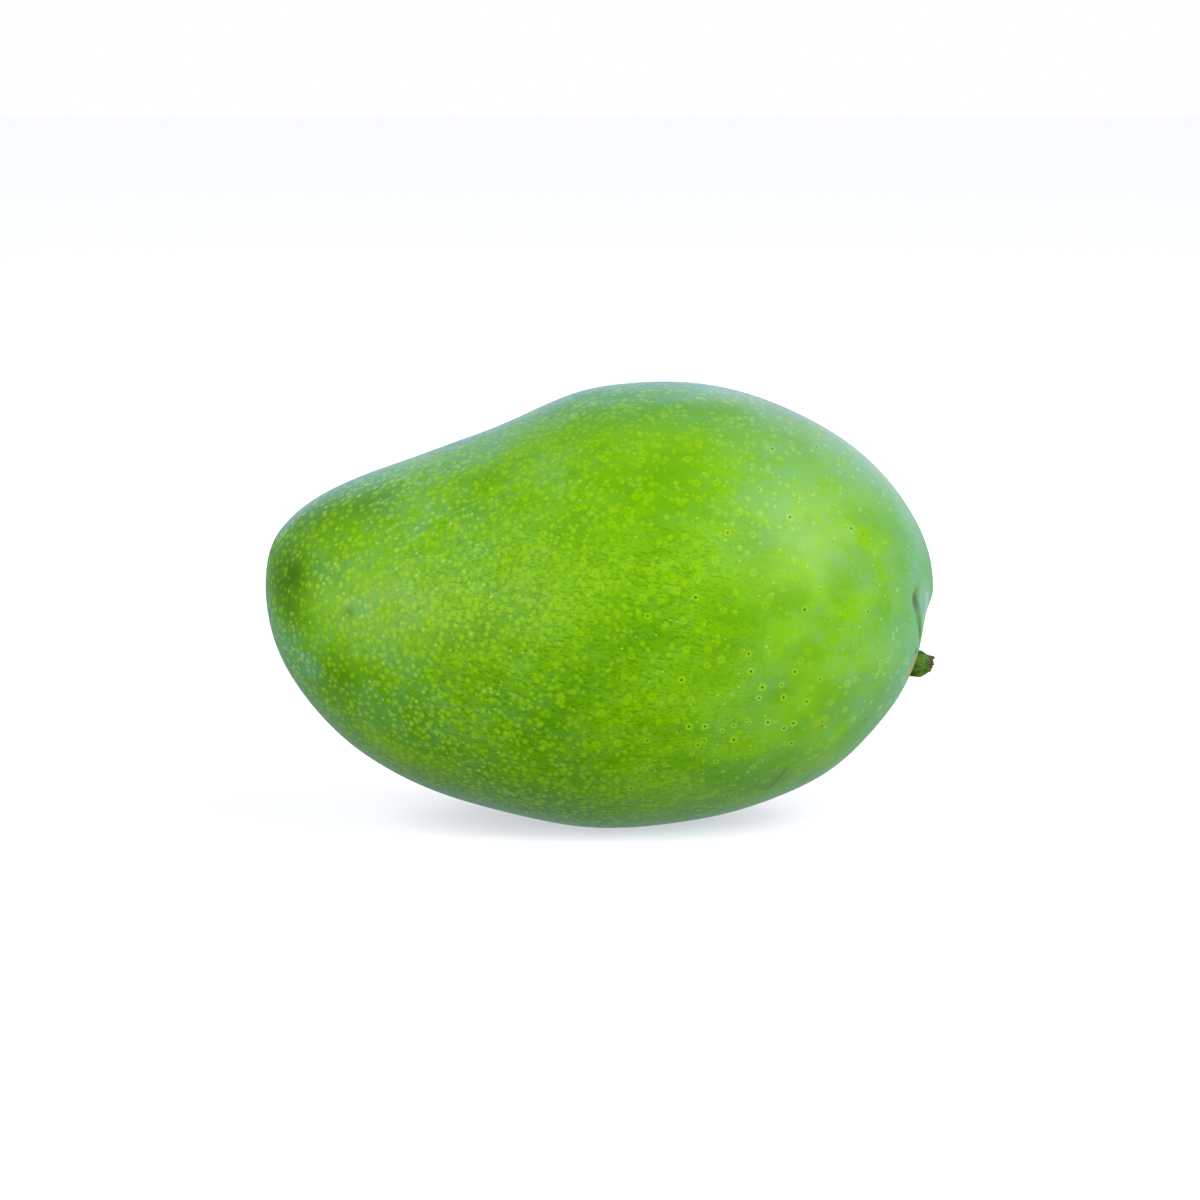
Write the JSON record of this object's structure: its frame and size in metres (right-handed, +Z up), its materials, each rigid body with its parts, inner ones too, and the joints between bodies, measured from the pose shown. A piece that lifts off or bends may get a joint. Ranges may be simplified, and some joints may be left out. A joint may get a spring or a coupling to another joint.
{
  "type": "mango",
  "caption": "Whole green mango resting on its belly, with a rounded tip, a hollow upper edge near it, two uneven shoulders and the broken stub of its stem.",
  "frame": {"origin": "middle of the small flat spot on the belly that the fruit rests on", "axes": "+Z up, +X along the fruit from the rounded tip to the stem end, -Y out of the near cheek"},
  "size_m": [0.1311, 0.0762, 0.0866],
  "materials": {
    "skin": "satin green fruit skin with a pale waxy bloom and fine pale dots",
    "stem": "dull green-brown stalk, dried brown at the broken end"
  },
  "bodies": {
    "root": {"fruit": "skin", "stem_stub": "stem"}
  },
  "joints": []
}
